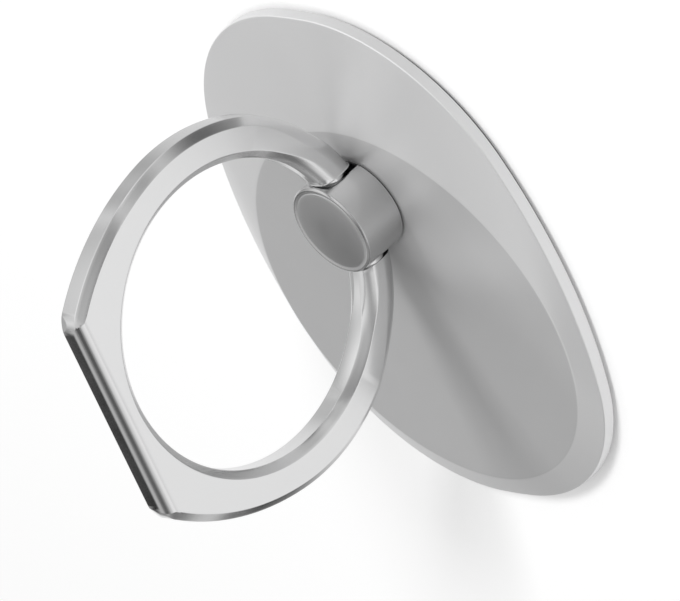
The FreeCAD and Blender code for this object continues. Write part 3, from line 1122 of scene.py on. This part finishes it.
def add_floor():
    """Pale floor that stays near white in the picture and keeps the object's shadow."""
    deselect()
    bpy.ops.mesh.primitive_plane_add(size=FLOOR_SIZE, location=(0, 0, -FLOOR_DROP))
    floor = bpy.context.object
    floor.name = "floor"
    material, tree, shader = new_material("white_floor")
    shader.inputs["Base Color"].default_value = (FLOOR_GREY, FLOOR_GREY, FLOOR_GREY, 1)
    shader.inputs["Roughness"].default_value = 1.0
    shader.inputs["Specular IOR Level"].default_value = 0.0
    shader.inputs["Emission Color"].default_value = (1, 1, 1, 1)
    lift = maths(tree, "MULTIPLY_ADD", seen_directly(tree), FLOOR_LIFT, 0.0)
    tree.links.new(lift, shader.inputs["Emission Strength"])
    dress(floor, material)
    return floor


def only_in_reflections(piece):
    """A studio card is seen in the metal and nowhere else."""
    piece.visible_camera = False
    piece.visible_diffuse = False
    piece.visible_shadow = False
    piece.visible_transmission = False
    piece.visible_volume_scatter = False


def add_studio_dome():
    """Studio walls with soft boxes and dark cards, as the metal sees them."""
    deselect()
    bpy.ops.mesh.primitive_ico_sphere_add(subdivisions=5, radius=STUDIO_R, location=(0, 0, 0))
    dome = bpy.context.object
    dome.name = "studio_dome"
    material, tree, shine = bare_material("studio_walls", "ShaderNodeEmission")
    direction = vector_maths(tree, "NORMALIZE", object_place(tree))["Vector"]
    level = STUDIO_LEVEL
    for azimuth, elevation, half_width, bright in STUDIO_PATCHES:
        spot = soft_spot(tree, direction, way(azimuth, elevation), math.radians(half_width))
        level = maths(tree, "MULTIPLY_ADD", spot, bright, level)
    tree.links.new(level, shine.inputs["Strength"])
    material.cycles.emission_sampling = "NONE"
    dress(dome, material)
    only_in_reflections(dome)


def add_floor_cards():
    """Soft grey cards lying beside the object, as the metal sees them."""
    deselect()
    bpy.ops.mesh.primitive_plane_add(size=CARDS_SIZE, location=(0, 0, 0))
    cards = bpy.context.object
    cards.name = "floor_cards"
    material, tree, clear = bare_material("grey_cards", "ShaderNodeBsdfTransparent")
    place = object_place(tree)
    level = 1.0
    for x, y, half_width, dark in FLOOR_CARDS:
        spot = soft_spot(tree, place, (x * MM, y * MM, 0), half_width * MM)
        level = maths(tree, "MULTIPLY_ADD", spot, -dark, level)
    tree.links.new(level, clear.inputs["Color"])
    dress(cards, material)
    only_in_reflections(cards)


def add_world():
    """Even light, with a white background for the camera, reflections and glass."""
    world = bpy.data.worlds.new("studio")
    world.use_nodes = True
    bpy.context.scene.world = world
    tree = world.node_tree
    back = tree.nodes["Background"]
    back.inputs["Color"].default_value = (1, 1, 1, 1)
    strength = maths(tree, "MULTIPLY_ADD", seen_directly(tree), 1 - WORLD_LIGHT, WORLD_LIGHT)
    tree.links.new(strength, back.inputs["Strength"])


def add_lamp(name, azimuth, elevation, distance, size, level):
    """A soft square lamp facing the hub. level is what it adds on a surface that faces it."""
    data = bpy.data.lights.new(name, "AREA")
    data.shape = "SQUARE"
    data.size = size
    data.energy = level * math.pi ** 2 * distance ** 2
    lamp = bpy.data.objects.new(name, data)
    bpy.context.scene.collection.objects.link(lamp)
    towards = way(azimuth, elevation)
    turned = towards.to_track_quat("Z", "Y").to_matrix().to_4x4()
    lamp.matrix_world = Matrix.Translation(towards * distance) @ turned
    lamp.visible_glossy = False
    return lamp


def light_only(lamp, pieces):
    """Keeps a lamp's light to some pieces, so that the floor shows one shadow and not two."""
    lit = bpy.data.collections.new("lit_by_" + lamp.name)
    for piece in pieces:
        lit.objects.link(piece)
    lamp.light_linking.receiver_collection = lit


# Build

plate = model_base_plate()
pad = model_adhesive_pad()
barrel = model_hub_barrel()
legs = model_hub_legs()
ring = model_finger_ring()

ring_metal = satin_steel("ring_satin_metal", shade=0.72, roughness=0.20, grain_scale=26000, bump=0.05)
hub_metal = satin_steel("hub_satin_metal", shade=0.60, roughness=0.22, grain_scale=26000, bump=0.05)
# The hub's front face: duller, with painted light
duller_face_with_painted_light(hub_metal, roughness=0.12, face_painted_light=1.35)
plate_metal = satin_steel(
    "plate_satin_metal", shade=0.76, roughness=0.42, grain_scale=22000, bump=0.08, metal=0.55)
# Painted shade on the plateau and a painted sheen on its sloped border
plateau_shade_border_sheen(plate_metal, inside=0.93, outside=1.10)
inner_steel = satin_steel("inner_spring_steel", shade=0.60, roughness=0.35, grain_scale=9000, bump=0.1)
foam = plain_material("black_foam", colour=(0.02, 0.02, 0.022), roughness=0.9, grain_scale=9000)
nylon = plain_material("black_nylon", colour=(0.015, 0.015, 0.016), roughness=0.45, grain_scale=5000)

for piece, degrees in ((plate, 30), (pad, 30), (barrel, 40), (legs, 30), (ring, 30)):
    smooth(piece, degrees)

dress(plate, plate_metal)
dress(pad, foam)
dress(barrel, hub_metal)
dress(legs, hub_metal)
dress(ring, ring_metal)

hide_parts("base_plate")
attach(plate, "base")
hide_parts("adhesive_pad")
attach(pad, "base")
for part in (barrel, legs):
    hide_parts("swivel_hub")
    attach(part, "swivel")
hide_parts("finger_ring")
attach(ring, "ring")

INNER_NODES = {
    "slip_washer": nylon,
    "friction_saddle": nylon,
    "cone_spring_washer": inner_steel,
    "retaining_disc": inner_steel,
    "saddle_spring": inner_steel,
}
for node, material in INNER_NODES.items():
    dress(frame["nodes"][node], material)

add_camera()
floor = add_floor()
add_studio_dome()
add_floor_cards()
add_world()
inner_pieces = [frame["nodes"][node] for node in INNER_NODES]
key_lamp = add_lamp("key_lamp", azimuth=77, elevation=35, distance=0.6, size=0.26, level=0.76)
light_only(key_lamp, [plate, pad, barrel, legs, ring] + inner_pieces)
floor_lamp = add_lamp("floor_lamp", azimuth=115, elevation=42, distance=0.6, size=0.16, level=0.55)
light_only(floor_lamp, [floor])
bpy.context.scene.view_settings.view_transform = "Standard"
